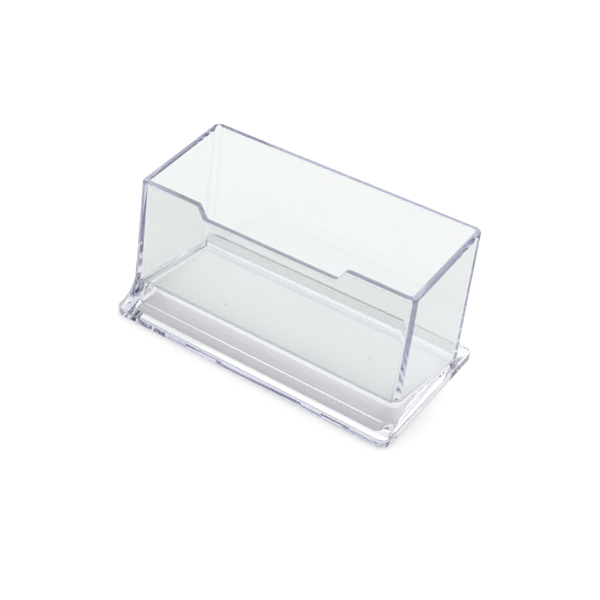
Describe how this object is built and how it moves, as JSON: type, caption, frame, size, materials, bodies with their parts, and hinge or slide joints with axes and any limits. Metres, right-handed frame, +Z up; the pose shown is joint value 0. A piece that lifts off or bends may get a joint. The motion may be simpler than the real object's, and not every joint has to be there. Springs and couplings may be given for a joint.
{
  "type": "business card holder stand",
  "caption": "Clear plastic desk stand for business cards: an open-topped box with a finger notch in its front rim leans back in a flared, ring-shaped base.",
  "frame": {"origin": "middle of the stand's overall box, on the desk", "axes": "+X to the right seen from the front, +Y to the back, the way the box leans, and +Z up"},
  "size_m": [0.101, 0.0512, 0.0452],
  "materials": {
    "clear_box": "clear, polished",
    "clear_base": "clear, polished"
  },
  "bodies": {
    "root": {"card_box": "clear_box", "flared_base": "clear_base"}
  },
  "joints": []
}
